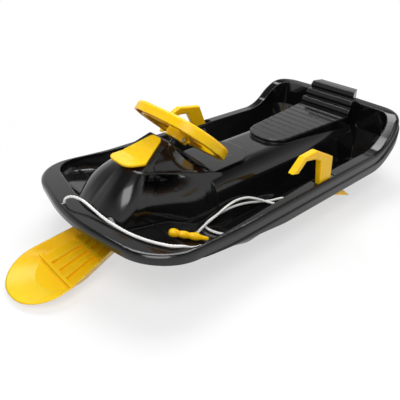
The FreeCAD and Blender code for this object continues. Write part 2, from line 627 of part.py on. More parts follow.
# Steering wheel, shaft, bushes and clip

def oval(inset, z):
    wide = s.wheel_half_wide - inset
    deep = s.wheel_half_deep - inset
    corners = ((deep, wide), (-deep, wide), (-deep, -wide), (deep, -wide))
    points = [Vector(x, y, z) for x, y in corners]
    return rounded_wire(points, [s.wheel_corner - inset] * 4)


def make_wheel():
    low = -s.ring_deep / 2
    ring = rounded_brink(plan_slab(oval(0, low), s.ring_deep), s.ring_round, 1)
    inner = plan_slab(oval(s.ring_width, low), s.ring_deep)
    channel = plan_slab(oval(s.ring_wall, low), s.channel_deep).cut(
        plan_slab(oval(s.ring_width - s.ring_wall, low), s.channel_deep))
    reach = s.wheel_half_wide - s.ring_width / 2
    spokes = Part.makeBox(s.spoke_width, 2 * reach, s.spoke_deep,
                          Vector(-s.spoke_width / 2, -reach, -s.spoke_deep / 2))
    drop = Part.makeBox(s.wheel_half_deep - s.ring_width / 2, s.spoke_width, s.spoke_deep,
                        Vector(s.ring_width / 2 - s.wheel_half_deep, -s.spoke_width / 2, -s.spoke_deep / 2))
    hub = Part.makeCylinder(s.hub_diameter / 2, s.hub_top + s.hub_end, Vector(0, 0, -s.hub_end))
    wheel = ring.cut(inner).cut(channel).fuse([spokes, drop, hub])
    bore = Part.makeCylinder(s.shaft_diameter / 2 + s.seat_gap, s.hub_end + s.shaft_top + s.end_play,
                             Vector(0, 0, -s.hub_end))
    cross = Part.makeCylinder(s.bolt_diameter / 2 + s.seat_gap, s.hub_diameter,
                              Vector(0, -s.hub_diameter / 2, -s.hub_bolt_level), LEFT)
    cuts = [bore, cross]
    for side in (-1, 1):
        cuts.append(Part.makeCylinder(s.counterbore / 2, s.hub_diameter,
                                      Vector(0, side * s.hub_grip / 2, -s.hub_bolt_level), LEFT * side))
    part = solid_part("steering_wheel", wheel.cut(cuts).removeSplitter())
    part.Placement = column
    return part


def make_column_parts():
    """Turned pieces on the steering axis, drawn with the axis as Z and the wheel's centre as origin."""
    clip_low = "-( sleeve_top - bush_flange - end_play )"
    clip_high = "-( sleeve_top - bush_flange - end_play - clip_thick )"
    groove = "shaft_diameter / 2 - clip_groove"
    washer_high = "-( sleeve_end + bush_flange + end_play )"
    collar_high = "-( sleeve_end + bush_flange + end_play + washer_thick )"
    collar_low = "-( sleeve_end + bush_flange + end_play + washer_thick + collar_thick )"
    shaft = [("0", "shaft_top"), ("shaft_diameter / 2", "shaft_top"), ("shaft_diameter / 2", clip_high),
             (groove, clip_high), (groove, clip_low), ("shaft_diameter / 2", clip_low),
             ("shaft_diameter / 2", collar_high), ("collar_diameter / 2", collar_high),
             ("collar_diameter / 2", collar_low), ("shaft_diameter / 2", collar_low),
             ("shaft_diameter / 2", "-shaft_end"), ("0", "-shaft_end")]
    rod = turned_part("steering_shaft", shaft, column)
    bore(rod, "wheel_hole", "XZ_Plane", "-hub_bolt_level", "bolt_diameter / 2 + seat_gap")
    bore(rod, "ski_hole", "XZ_Plane", "-ski_level", "bolt_diameter / 2 + run_gap")
    clip = [(f"{groove} + seat_gap", clip_low), ("clip_diameter / 2", clip_low),
            ("clip_diameter / 2", clip_high), (f"{groove} + seat_gap", clip_high)]
    turned_part("shaft_clip", clip, column)
    running = "shaft_diameter / 2 + run_gap"
    upper = [(running, "-( sleeve_top - bush_flange )"),
             ("bush_flange_diameter / 2", "-( sleeve_top - bush_flange )"),
             ("bush_flange_diameter / 2", "-sleeve_top"), ("bush_diameter / 2", "-sleeve_top"),
             ("bush_diameter / 2", "-( sleeve_top + bush_length )"),
             (running, "-( sleeve_top + bush_length )")]
    turned_part("upper_bush", upper, column)
    lower = [(running, "-( sleeve_end - bush_length )"),
             ("bush_diameter / 2", "-( sleeve_end - bush_length )"),
             ("bush_diameter / 2", "-sleeve_end"), ("bush_flange_diameter / 2", "-sleeve_end"),
             ("bush_flange_diameter / 2", "-( sleeve_end + bush_flange )"),
             (running, "-( sleeve_end + bush_flange )")]
    turned_part("lower_bush", lower, column)
    loose = "shaft_diameter / 2 + seat_gap"
    washer = [(loose, washer_high), ("washer_diameter / 2", washer_high),
              ("washer_diameter / 2", collar_high), (loose, collar_high)]
    turned_part("thrust_washer", washer, column)
    cap = [("0", "hub_top"), ("cap_diameter / 2", "hub_top"), ("cap_diameter / 2", "hub_top + cap_edge"),
           ("cap_flat / 2", "hub_top + cap_thick"), ("0", "hub_top + cap_thick")]
    turned_part("hub_cap", cap, column)
    lug_grip = "( shaft_diameter + 2 * end_play + 2 * lug_thick )"
    for name, grip, level in (("wheel", "hub_grip", s.hub_bolt_level), ("ski", lug_grip, s.ski_level)):
        head_end = f"-( {grip} / 2 + bolt_head_thick )"
        head_seat = f"-( {grip} / 2 )"
        tip = f"{grip} / 2 + nut_thick + bolt_lead"
        bolt = [("0", head_end), ("bolt_head / 2", head_end), ("bolt_head / 2", head_seat),
                ("bolt_diameter / 2", head_seat), ("bolt_diameter / 2", tip), ("0", tip)]
        turned_part(f"{name}_bolt", bolt, column_cross(level))
        make_nut(f"{name}_nut", grip, column_cross(level))


def make_nut(label, grip, placement):
    """Hexagon nut on the far end of a cross bolt."""
    body = doc.addObject("PartDesign::Body", label)
    body.Label = label
    corner_share = 1 / (2 * math.cos(math.pi / 6))
    points = []
    for i in range(6):
        across_share = corner_share * math.cos(i * math.pi / 3)
        up_share = corner_share * math.sin(i * math.pi / 3)
        points.append((f"nut_width * {across_share:.6f}", f"nut_width * {up_share:.6f}"))
    sketch = outline_sketch(body, f"{label}_hexagon", "XY_Plane", points)
    pad = body.newObject("PartDesign::Pad", f"{label}_pad")
    pad.Profile = sketch
    pad.setExpression("Length", "Sizes.nut_thick")
    bore(body, "hole", "XY_Plane", "0", "bolt_diameter / 2 + seat_gap")
    doc.recompute()
    seat = Placement(Vector(0, 0, value_of(sized(f"{grip} / 2"))), Rotation())
    body.Placement = placement.multiply(seat)
    return body


# Ski

def ski_wire(z, draw_in, tip_in):
    """Ski outline at a height, drawn in at the sides and rear and at the tip."""
    lean = (s.ski_tip_half - s.ski_rear_half) / (s.ski_tip_x - s.ski_rear_x)
    tip_half = s.ski_tip_half - draw_in - lean * tip_in
    half = [(s.ski_tip_x - tip_in, tip_half),
            (s.ski_rear_x + draw_in, s.ski_rear_half - draw_in + lean * draw_in)]
    radii = [tip_half * ski_tip_share, s.ski_rear_round - draw_in]
    return rounded_wire(mirrored_outline(z, (None, None), half), radii + radii[::-1])


def ski_loft(inset, lift):
    """Tray between the sole and the rim, drawn in by an inset and closed below by a lift."""
    tray = Part.makeLoft([ski_wire(-s.ski_depth, s.ski_flare + inset, s.ski_tip_flare + inset),
                          ski_wire(0, inset, inset)], True, True)
    below = Part.makeBox(2 * s.ski_tip_x, 2 * s.ski_tip_half, lift + s.overrun,
                         Vector(-s.ski_tip_x, -s.ski_tip_half, -s.ski_depth - s.overrun))
    return tray.cut(below) if lift > 0 else tray


def ski_strip(x_from, x_to, y_from, y_to, width):
    """Upright strip on the sole between two points of the plan, up to the height of the ribs."""
    run = Vector(x_to - x_from, y_to - y_from, 0)
    strip = Part.makeBox(run.Length, width, s.ski_depth - s.ski_rib_drop, Vector(0, -width / 2, 0))
    strip.Placement = Placement(Vector(x_from, y_from, -s.ski_depth), Rotation(Vector(1, 0, 0), run))
    return strip


def make_ski():
    outer = ski_loft(0, 0)
    ribs = [ski_strip(s.ski_rear_x, s.ski_ridge_front_x, 0, 0, s.ski_rib_width)]
    for side in (-1, 1):
        ribs.append(ski_strip(s.ski_rear_x, s.ski_ridge_front_x, side * s.ski_rib_rear_y,
                              side * s.ski_rib_front_y, s.ski_rib_width))
    for x in (s.ski_ridge_rear_x, s.ski_ridge_front_x):
        ribs.append(ski_strip(x, x, -s.ski_tip_half, s.ski_tip_half, s.ski_ridge_width))
    ribs = ribs[0].fuse(ribs[1:]).common(outer)
    lug_in = s.shaft_diameter / 2 + s.end_play
    foot_z = s.ski_sole / 2 - s.ski_depth
    sides = [(-s.lug_foot, foot_z), (-s.lug_top, s.lug_top), (s.lug_top, s.lug_top), (s.lug_foot, foot_z)]
    lugs = side_slab(sides, [0, s.lug_round, s.lug_round, 0], lug_in + s.lug_thick)
    gap = Part.makeBox(2 * s.lug_foot, 2 * lug_in, s.ski_depth + s.lug_top,
                       Vector(-s.lug_foot, -lug_in, s.ski_sole - s.ski_depth))
    tray = outer.cut(ski_loft(s.ski_wall, s.ski_sole)).fuse([ribs, lugs]).cut(gap)
    hole = cross_rod(s.bolt_diameter / 2 + s.seat_gap, 0, 0, -s.ski_tip_half, s.ski_tip_half)
    part = solid_part("ski", tray.cut(hole).removeSplitter())
    part.Placement = Placement(column.multVec(Vector(0, 0, -s.ski_level)), Rotation(LEFT, s.ski_pitch))
    return part


# Brake levers and their pins

lever_grip_shares = [(0.156, 0.19), (0.22, 0.71), (0.42, 0.815), (0.65, 0.86), (0.85, 0.658), (1.0, 0.70),
                     (0.72, 0.974), (0.375, 1.0), (-0.14, 0.69), (-0.18, 0.0)]
lever_claw_shares = [(-0.45, -0.2), (-1.0, -1.0), (-0.35, -0.55), (0.08, -0.24), (0.14, 0.0)]


def make_lever(label, side):
    """Hand lever with its ground claw, drawn about the pivot."""
    body = doc.addObject("PartDesign::Body", label)
    body.Label = label
    points = [(f"brake_reach * {a}", f"brake_height * {b}") for a, b in lever_grip_shares]
    points += [(f"claw_reach * {a}", f"claw_drop * {b}") for a, b in lever_claw_shares]
    sketch = outline_sketch(body, f"{label}_outline", "XZ_Plane", points)
    pad = body.newObject("PartDesign::Pad", f"{label}_pad")
    pad.Profile = sketch
    pad.Midplane = True
    pad.setExpression("Length", "Sizes.brake_thick")
    doc.recompute()
    rims = [f"Edge{i}" for i, edge in enumerate(pad.Shape.Edges, start=1)
            if abs(edge.tangentAt(edge.FirstParameter).y) < flat_share]
    soft = body.newObject("PartDesign::Fillet", f"{label}_rounding")
    soft.Base = (pad, rims)
    soft.setExpression("Radius", "Sizes.brake_round")
    doc.recompute()
    bore(body, "hole", "XZ_Plane", "0", "brake_pin / 2 + run_gap")
    doc.recompute()
    lean = s.brake_lean if side < 0 else 0
    body.Placement = Placement(Vector(s.brake_x, side * brake_y, s.brake_z), Rotation(LEFT, lean))
    return body


def make_brakes():
    for label, side in (("left", 1), ("right", -1)):
        make_lever(f"brake_lever_{label}", side)
        head_end = "-( brake_thick / 2 + brake_boss_reach + brake_pin_head_thick )"
        head_seat = "-( brake_thick / 2 + brake_boss_reach )"
        tip = "brake_thick / 2 + wall - seat_gap"
        pin = [("0", head_end), ("brake_pin_head / 2", head_end), ("brake_pin_head / 2", head_seat),
               ("brake_pin / 2", head_seat), ("brake_pin / 2", tip), ("0", tip)]
        place = Vector(s.brake_x, side * brake_y, s.brake_z)
        turned_part(f"brake_pin_{label}", pin, Placement(place, Rotation(Vector(1, 0, 0), -90 * side)))


# Tow rope, knot and pull handle

def rounded_path(points):
    """Straight runs joined by tangent arcs as wide as the runs allow."""
    run_share = 0.45
    edges = []
    bends = []
    start = points[0]
    for back, corner, ahead in zip(points, points[1:], points[2:]):
        reach = run_share * min((corner - back).Length, (ahead - corner).Length)
        before = (back - corner).normalize()
        after = (ahead - corner).normalize()
        turn = math.pi - before.getAngle(after)
        radius = reach / math.tan(turn / 2)
        middle = (before + after).normalize()
        top = corner + middle * (radius / math.cos(turn / 2) - radius)
        edges.append(Part.LineSegment(start, corner + before * reach).toShape())
        edges.append(Part.Arc(corner + before * reach, top, corner + after * reach).toShape())
        start = corner + after * reach
        bends.append((round(radius, 1), round(math.degrees(turn))))
    edges.append(Part.LineSegment(start, points[-1]).toShape())
    return Part.Wire(edges), bends


def make_rope():
    points = [Vector(*place) for place in ROPE]
    path, bends = rounded_path(points)
    start = Part.makeCircle(s.rope_diameter / 2, points[0], points[1] - points[0])
    rope = path.makePipeShell([Part.Wire(start)], True, False)
    section = math.pi * s.rope_diameter ** 2 / 4
    print("rope length", round(path.Length), "volume share", round(rope.Volume / (section * path.Length), 4))
    print("rope bends, radius and turn", bends)
    solid_part("tow_rope", rope)
    profile = [("0", "0"), ("rope_diameter / 2", "0"), ("knot_diameter / 2", "-knot_taper"),
               ("knot_diameter / 2", "-( knot_length - knot_taper )"), ("rope_diameter / 2", "-knot_length"),
               ("0", "-knot_length")]
    turned_part("rope_knot", profile, Placement(points[0], Rotation()))


def make_handle():
    """Finger grip with a neck that takes the end of the rope."""
    near, tip = [Vector(*place) for place in HANDLE]
    along = (tip - near).normalize()
    grip = [(s.handle_diameter / 2 * wide, s.handle_length * far) for far, wide in handle_lobe_shares]
    wire = Part.makePolygon([Vector(r, 0, z) for r, z in grip + grip[:1]])
    body = Part.Face(wire).revolve(Vector(0, 0, 0), UP, 360)
    body.Placement = Placement(near, Rotation(UP, along))
    end = Vector(*ROPE[-1])
    back = (Vector(*ROPE[-2]) - end).normalize()
    neck = Part.makeCylinder(s.handle_neck / 2, s.handle_neck_reach, end, -back)
    return solid_part("pull_handle", body.fuse(neck).removeSplitter())


make_hull()
make_cover()
make_visor()
make_screws()
make_wheel()
make_column_parts()
make_ski()
make_brakes()
make_rope()
make_handle()
doc.recompute()

parts = [item for item in doc.Objects if item.TypeId in ("PartDesign::Body", "Part::Feature")]
for item in doc.Objects:
    if "Invalid" in item.State or "Error" in item.State:
        raise RuntimeError(f"{item.Label} failed: {item.State}")
for part in parts:
    if part.Shape.isNull() or not part.Shape.isValid():
        raise RuntimeError(f"{part.Label} is not a sound solid")
os.makedirs("parts", exist_ok=True)
for part in parts:
    part.Shape.exportStep(f"parts/{part.Label}.step")
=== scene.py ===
import json
import math

import bmesh
import bpy
from mathutils import Matrix, Vector


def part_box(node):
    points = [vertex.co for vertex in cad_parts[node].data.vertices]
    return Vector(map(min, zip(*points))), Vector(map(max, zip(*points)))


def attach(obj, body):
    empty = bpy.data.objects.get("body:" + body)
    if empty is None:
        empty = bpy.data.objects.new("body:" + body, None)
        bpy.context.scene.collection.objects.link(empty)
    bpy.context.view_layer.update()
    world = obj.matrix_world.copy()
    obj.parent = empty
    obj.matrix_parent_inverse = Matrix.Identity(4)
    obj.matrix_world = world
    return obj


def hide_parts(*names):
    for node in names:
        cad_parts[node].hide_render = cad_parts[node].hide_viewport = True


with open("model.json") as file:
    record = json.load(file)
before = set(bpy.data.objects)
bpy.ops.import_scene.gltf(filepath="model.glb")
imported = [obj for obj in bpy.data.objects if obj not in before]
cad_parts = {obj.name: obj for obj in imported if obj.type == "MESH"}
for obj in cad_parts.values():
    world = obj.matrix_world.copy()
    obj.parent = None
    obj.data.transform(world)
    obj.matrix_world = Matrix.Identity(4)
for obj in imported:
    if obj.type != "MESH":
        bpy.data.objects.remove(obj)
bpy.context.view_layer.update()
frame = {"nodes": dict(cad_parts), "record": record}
nodes = frame["nodes"]
scene = bpy.context.scene
scene.view_settings.view_transform = "Standard"

# Camera at the photograph's place, in metres
PHOTO_WIDTH = 400
FOCAL_PIXELS = 487.66
SENSOR_WIDTH = 36.0
CAMERA_EYE = Vector((0.7368, 0.8141, 0.6919))
CAMERA_BACK = Vector((0.5573, 0.6450, 0.5229))

# Studio: floor, room light, the ceiling and soft card that the gloss shows, and the softboxes
FLOOR_SIZE = 9.0
FLOOR_GREY = 0.82
FLOOR_ROUGHNESS = 0.6
FLOOR_GLOW_REACH = (0.45, 1.15)
FLOOR_GLOW_SHARE = (0.62, 1.0)
WHITE = (1.0, 1.0, 1.0, 1.0)
ROOM_LIGHT = 0.26
CEILING_HEIGHTS = (0.35, 0.75)
CEILING_LIGHT = (1.0, 0.12)
CARD_DIRECTION = Vector((0.31, 0.39, 0.86)).normalized()
CARD_SPREAD = (0.84, 0.985)
CARD_LIGHT = (0.0, 1.6)
SOFTBOXES = (
    # name, place, aim, width and length, watts
    ("key_softbox", (0.9, 0.85, 1.8), (0.25, 0, 0.15), (1.25, 1.25), 26),
    ("rear_softbox", (-0.6, -0.7, 1.9), (0, 0, 0.1), (1.5, 1.0), 36),
)

# Tow rope: the route of its middle line from the hole in the rim to the pull handle
ROPE_ROUTE = [
    (0.377, -0.052, 0.118), (0.377, -0.052, 0.146), (0.365, -0.036, 0.159), (0.352, -0.01, 0.156),
    (0.349, 0.028, 0.149), (0.3475, 0.066, 0.1445), (0.341, 0.104, 0.141), (0.335, 0.14, 0.1405),
    (0.325, 0.171, 0.1399), (0.31, 0.201, 0.139), (0.294, 0.225, 0.1383), (0.2745, 0.2315, 0.1335),
    (0.256, 0.226, 0.1175), (0.234, 0.2195, 0.103), (0.206, 0.2145, 0.094), (0.178, 0.2115, 0.081),
    (0.148, 0.2095, 0.0695), (0.116, 0.209, 0.0645), (0.085, 0.2084, 0.0596),
    (0.0744, 0.201, 0.0534), (0.0712, 0.1891, 0.0463), (0.0766, 0.1772, 0.0409),
    (0.0886, 0.1698, 0.0396), (0.103, 0.1655, 0.0455), (0.116, 0.16, 0.051), (0.126, 0.151, 0.056),
    (0.1302, 0.137, 0.058), (0.126, 0.123, 0.056), (0.1145, 0.1145, 0.0535), (0.095, 0.111, 0.0565),
    (0.066, 0.112, 0.0615), (0.04, 0.1125, 0.0633), (0.012, 0.1123, 0.0605),
    (-0.016, 0.1132, 0.0555), (-0.044, 0.1147, 0.0483), (-0.072, 0.1177, 0.04),
    (-0.104, 0.1215, 0.0315), (-0.133, 0.1257, 0.029), (-0.1447, 0.1337, 0.0285),
    (-0.1491, 0.1473, 0.0285), (-0.1447, 0.1609, 0.0287), (-0.1331, 0.169, 0.0295),
    (-0.113, 0.169, 0.0325), (-0.097, 0.1555, 0.0375), (-0.081, 0.1395, 0.043),
    (-0.066, 0.125, 0.049), (-0.05, 0.116, 0.057), (-0.03, 0.1123, 0.066), (-0.008, 0.1105, 0.0715),
    (0.014, 0.11, 0.074), (0.038, 0.1115, 0.0725), (0.06, 0.115, 0.07), (0.082, 0.12, 0.068),
    (0.106, 0.1245, 0.0665), (0.132, 0.132, 0.0675), (0.154, 0.143, 0.0715), (0.173, 0.1565, 0.08),
    (0.191, 0.1704, 0.0894),
]
BRAID_STRANDS = 4
BRAID_PITCH = 0.030
BRAID_STEP = 0.00075
BRAID_RADIUS = 0.00212
BRAID_LIFT = 0.00028
STRAND_THICKNESS = 0.0017
CORE_THICKNESS = 0.0046
KNOT_HEIGHT = 0.0042
KNOT_SPREAD = 0.0019
KNOT_THICKNESS = 0.0052
KNOT_POINTS = 24

# Seat of the hull: place and height of its front and rear edge, and its ribs
SEAT_FRONT = (-0.176, 0.147)
SEAT_REAR = (-0.462, 0.154)
SEAT_FRONT_HALF = 0.058
SEAT_REAR_HALF = 0.084
SEAT_OVAL = 0.052
SEAT_STEP = 0.003
SEAT_RIBS = 11
SEAT_RIB_CELLS = (6, 10)
SEAT_RIB_TOP = 0.0034
SEAT_RIB_FALL = 0.8
SEAT_RIB_SINK = 0.0042
SEAT_RIB_GAP = 0.08
SEAT_RIB_INSET = 0.001
SEAT_RIB_ROUND = 0.0008

# Hood of the hull: (height, nose, half width, corner radius, rear half width) from its foot up
HOOD_FOOT = (0.016, 0.508, 0.124, 0.092, 0.120)
HOOD_HIGH = (0.215, 0.256, 0.056, 0.042, 0.039)
HOOD_TOP = (0.268, 0.190, 0.027, 0.020, 0.020)
HOOD_REAR = 0.025
HOOD_SIDE_START = 0.15
HOOD_SIDE_COLUMNS = 14
HOOD_CORNER_COLUMNS = 12
HOOD_TIP_COLUMNS = 4
HOOD_RAKE = 0.12
HOOD_NOSE_ROUND = 1.35
HOOD_CROWN = 0.010
HOOD_CROWN_FADE = 0.2
HOOD_NOSE_CROWN = 0.25
HOOD_NOSE_START = 0.3
HOOD_SINK = 0.0008
HOOD_LIFT = 0.004
HOOD_ROWS = 20
HOOD_SLOPE_STEP = 0.01
SKIN_CENTRE = Vector((0.025, 0.0, 0.25))
SKIN_SHRINK = 0.99
PARTING_REAR = (0.030, 0.140)
PARTING_SLOPE = 0.319
PARTING_STEPS = 8

# Console cover: its side from the parting line up to the ridge, and the slopes beside the ridge
COVER_SIDE = (0.056, 0.214)
COVER_RIDGE = (0.152, 0.246)
COVER_FRONT_SLOPE = -0.443
COVER_REAR_SLOPE = 0.9325
COVER_INSET = 0.001
COVER_EDGE = 0.002
COVER_FLARE = 0.009
COVER_FLARE_FADE = 0.7
COVER_COLUMNS = 24
COVER_ROWS = 15
COVER_LIP = 1 / COVER_ROWS
COVER_RETURN = 0.002

# Finishes: noise as (scale, detail), scuffs as the noise range over which they appear
PLAIN = (1, 1, 1)
MIDDLE_NOISE = (0.3, 0.7)
SHADE_NOISE = (7.0, 3.0)
GRAIN_NOISE = (900.0, 2.0)
SCUFF_STRETCH = (9, 160, 160)
SCUFF_NOISE = (1.0, 4.0)
SCUFF_RANGE = (0.62, 0.72)
SCUFF_PATCH_NOISE = (11.0, 2.0)
SCUFF_PATCH_RANGE = (0.52, 0.70)
DRAWN_STRETCH = (40, 40, 900)
DRAWN_NOISE = (1.0, 3.0)
MOTTLE_NOISE = (160.0, 2.0)
STEEL_ROUGHNESS = (0.24, 0.42)
FIBRE_NOISE = (2600.0, 3.0)
GREY_PATCH_NOISE = (30.0, 3.0)
YARN_ROUGHNESS = (0.55, 0.8)


# Materials

def new_group(name, inputs, outputs):
    """Empty shader group with named value inputs and named outputs."""
    group = bpy.data.node_groups.new(name, "ShaderNodeTree")
    for label, value in inputs.items():
        socket = group.interface.new_socket(label, in_out="INPUT", socket_type="NodeSocketFloat")
        socket.default_value = value
    for label in outputs:
        group.interface.new_socket(label, in_out="OUTPUT", socket_type="NodeSocketFloat")
    return group, group.nodes.new("NodeGroupInput"), group.nodes.new("NodeGroupOutput")


def add_node(tree, kind, **values):
    """New node; a value goes to the socket of that name, or to the node's own setting."""
    node = tree.nodes.new(kind)
    for label, value in values.items():
        socket = node.inputs.get(label.replace("_", " "))
        if socket is not None:
            socket.default_value = value
        else:
            setattr(node, label, value)
    return node


def mapped_place(tree, stretch):
    """Object coordinates, stretched along the axes."""
    place = add_node(tree, "ShaderNodeTexCoord")
    mapping = add_node(tree, "ShaderNodeMapping", Scale=stretch)
    tree.links.new(place.outputs["Object"], mapping.inputs["Vector"])
    return mapping.outputs["Vector"]


def ranged(tree, source, low, high, to_low, to_high):
    """Value taken from one range to another and clamped there."""
    node = add_node(tree, "ShaderNodeMapRange")
    limits = {"From Min": low, "From Max": high, "To Min": to_low, "To Max": to_high}
    for label, value in limits.items():
        node.inputs[label].default_value = value
    tree.links.new(source, node.inputs["Value"])
    return node.outputs["Result"]


def noise(tree, place, scale, detail):
    """Noise at a mapped place."""
    node = add_node(tree, "ShaderNodeTexNoise", Scale=scale, Detail=detail)
    tree.links.new(place, node.inputs["Vector"])
    return node


def make_skin_group():
    """Moulded skin: broad shade, fine spark-eroded grain, and scuffs from use along the sled."""
    group, entry, leave = new_group("moulded_skin", {"Grain Scale": GRAIN_NOISE[0]},
                                    ("Shade", "Grain", "Scuff"))
    plain = mapped_place(group, PLAIN)
    shade = noise(group, plain, *SHADE_NOISE)
    group.links.new(shade.outputs["Fac"], leave.inputs["Shade"])
    grain = noise(group, plain, *GRAIN_NOISE)
    group.links.new(entry.outputs["Grain Scale"], grain.inputs["Scale"])
    group.links.new(grain.outputs["Fac"], leave.inputs["Grain"])
    streaks = noise(group, mapped_place(group, SCUFF_STRETCH), *SCUFF_NOISE)
    patches = noise(group, plain, *SCUFF_PATCH_NOISE)
    thin = ranged(group, streaks.outputs["Fac"], *SCUFF_RANGE, 0.0, 1.0)
    worn = ranged(group, patches.outputs["Fac"], *SCUFF_PATCH_RANGE, 0.0, 1.0)
    both = add_node(group, "ShaderNodeMath", operation="MULTIPLY")
    group.links.new(thin, both.inputs[0])
    group.links.new(worn, both.inputs[1])
    group.links.new(both.outputs["Value"], leave.inputs["Scuff"])
    return group


def mixed_colour(tree, factor, first, second):
    """Colour between two tones."""
    node = add_node(tree, "ShaderNodeMix", data_type="RGBA")
    colours = [socket for socket in node.inputs if socket.type == "RGBA"]
    colours[0].default_value = (*first, 1.0)
    colours[1].default_value = (*second, 1.0)
    tree.links.new(factor, node.inputs["Factor"])
    return [socket for socket in node.outputs if socket.type == "RGBA"][0]


def added(tree, first, second, share):
    """First value plus a share of the second."""
    node = add_node(tree, "ShaderNodeMath", operation="MULTIPLY_ADD")
    tree.links.new(second, node.inputs[0])
    node.inputs[1].default_value = share
    tree.links.new(first, node.inputs[2])
    return node.outputs["Value"]


def new_material(name):
    """Material with its node tree and its shader."""
    material = bpy.data.materials.new(name)
    material.use_nodes = True
    tree = material.node_tree
    return material, tree, tree.nodes["Principled BSDF"]


def plastic(name, dark, light, rough, grain_scale, grain_height, scuff_share, edge, specular):
    """Moulded plastic: two tones, gloss that varies, grain, scuffs and softened edges."""
    material, tree, shader = new_material(name)
    shader.inputs["Specular IOR Level"].default_value = specular
    skin = add_node(tree, "ShaderNodeGroup", node_tree=skin_group)
    skin.inputs["Grain Scale"].default_value = grain_scale
    colour = mixed_colour(tree, skin.outputs["Shade"], dark, light)
    tree.links.new(colour, shader.inputs["Base Color"])
    gloss = ranged(tree, skin.outputs["Shade"], *MIDDLE_NOISE, *rough)
    tree.links.new(added(tree, gloss, skin.outputs["Scuff"], scuff_share),
                   shader.inputs["Roughness"])
    rounded = add_node(tree, "ShaderNodeBevel", samples=4, Radius=edge)
    bump = add_node(tree, "ShaderNodeBump", Strength=0.25, Distance=grain_height)
    tree.links.new(skin.outputs["Grain"], bump.inputs["Height"])
    tree.links.new(rounded.outputs["Normal"], bump.inputs["Normal"])
    tree.links.new(bump.outputs["Normal"], shader.inputs["Normal"])
    return material


def plated_steel(name, dark, light):
    """Plated steel with a drawn grain and a faint mottle."""
    material, tree, shader = new_material(name)
    drawn = noise(tree, mapped_place(tree, DRAWN_STRETCH), *DRAWN_NOISE)
    mottle = noise(tree, mapped_place(tree, PLAIN), *MOTTLE_NOISE)
    tree.links.new(mixed_colour(tree, mottle.outputs["Fac"], dark, light),
                   shader.inputs["Base Color"])
    tree.links.new(ranged(tree, drawn.outputs["Fac"], *MIDDLE_NOISE, *STEEL_ROUGHNESS),
                   shader.inputs["Roughness"])
    shader.inputs["Metallic"].default_value = 1.0
    bump = add_node(tree, "ShaderNodeBump", Strength=0.2, Distance=0.0001)
    tree.links.new(drawn.outputs["Fac"], bump.inputs["Height"])
    tree.links.new(bump.outputs["Normal"], shader.inputs["Normal"])
    return material


def cord_fibre(name):
    """White polypropylene yarn: fine fibres, a little grey in random patches."""
    material, tree, shader = new_material(name)
    fibre = noise(tree, mapped_place(tree, PLAIN), *FIBRE_NOISE)
    # Noise that greys the yarn in random patches, mixed with the fine fibre noise
    grey_patches = noise(tree, mapped_place(tree, PLAIN), *GREY_PATCH_NOISE)
    both = added(tree, fibre.outputs["Fac"], grey_patches.outputs["Fac"], 0.5)
    shade = ranged(tree, both, 0.5, 1.0, 0.0, 1.0)
    tree.links.new(mixed_colour(tree, shade, (0.80, 0.79, 0.77), (0.96, 0.96, 0.95)),
                   shader.inputs["Base Color"])
    tree.links.new(ranged(tree, fibre.outputs["Fac"], *MIDDLE_NOISE, *YARN_ROUGHNESS),
                   shader.inputs["Roughness"])
    shader.inputs["Sheen Weight"].default_value = 0.25
    bump = add_node(tree, "ShaderNodeBump", Strength=0.5, Distance=0.0003)
    tree.links.new(fibre.outputs["Fac"], bump.inputs["Height"])
    tree.links.new(bump.outputs["Normal"], shader.inputs["Normal"])
    return material


skin_group = make_skin_group()
black_plastic = plastic(
    "gloss_black_plastic", dark=(0.0035, 0.0035, 0.004), light=(0.0075, 0.0075, 0.008),
    rough=(0.07, 0.14), grain_scale=900.0, grain_height=0.00006, scuff_share=0.12,
    edge=0.004, specular=0.45)
yellow_plastic = plastic(
    "golden_yellow_plastic", dark=(0.94, 0.52, 0.003), light=(0.98, 0.60, 0.004),
    rough=(0.26, 0.36), grain_scale=700.0, grain_height=0.00015, scuff_share=0.2,
    edge=0.002, specular=0.25)
bush_plastic = plastic(
    "plain_nylon", dark=(0.62, 0.60, 0.55), light=(0.74, 0.72, 0.68),
    rough=(0.42, 0.55), grain_scale=1200.0, grain_height=0.0001, scuff_share=0.1,
    edge=0.0004, specular=0.5)
glow = yellow_plastic.node_tree.nodes["Principled BSDF"]
glow.inputs["Subsurface Weight"].default_value = 0.35
glow.inputs["Subsurface Radius"].default_value = (1.0, 0.3, 0.03)
glow.inputs["Subsurface Scale"].default_value = 0.012
zinc_steel = plated_steel("zinc_plated_steel", (0.50, 0.51, 0.53), (0.72, 0.72, 0.72))
black_steel = plated_steel("black_oxide_steel", (0.012, 0.012, 0.014), (0.03, 0.03, 0.033))
rope_yarn = cord_fibre("white_rope_yarn")

FINISHES = {
    "black_plastic": black_plastic,
    "yellow_plastic": yellow_plastic,
    "bush_plastic": bush_plastic,
    "steel": zinc_steel,
    "rope": rope_yarn,
}


def dress_cad_nodes():
    """Give each carried-over solid the finish of its slot."""
    for part in frame["record"]["subparts"]:
        body = nodes[part["node"]]
        body.data.materials.clear()
        body.data.materials.append(FINISHES[part["material_slot"]])
    for name in ("steering_shaft", "shaft_clip"):
        nodes[name].data.materials[0] = black_steel


# Tow rope

def new_line(name, points, thickness):
    """Smooth round line with these control points."""
    line = bpy.data.curves.new(name, "CURVE")
    line.dimensions = "3D"
    spline = line.splines.new("NURBS")
    spline.points.add(len(points) - 1)
    for point, place in zip(spline.points, points):
        point.co = (*place, 1.0)
    spline.order_u = 3
    spline.use_endpoint_u = True
    line.resolution_u = 8
    line.bevel_depth = thickness / 2
    line.bevel_resolution = 3
    line.use_fill_caps = True
    piece = bpy.data.objects.new(name, line)
    scene.collection.objects.link(piece)
    return piece


def curve_mesh(curve):
    """Mesh of a curve as it stands."""
    shown = curve.evaluated_get(bpy.context.evaluated_depsgraph_get())
    return bpy.data.meshes.new_from_object(shown)


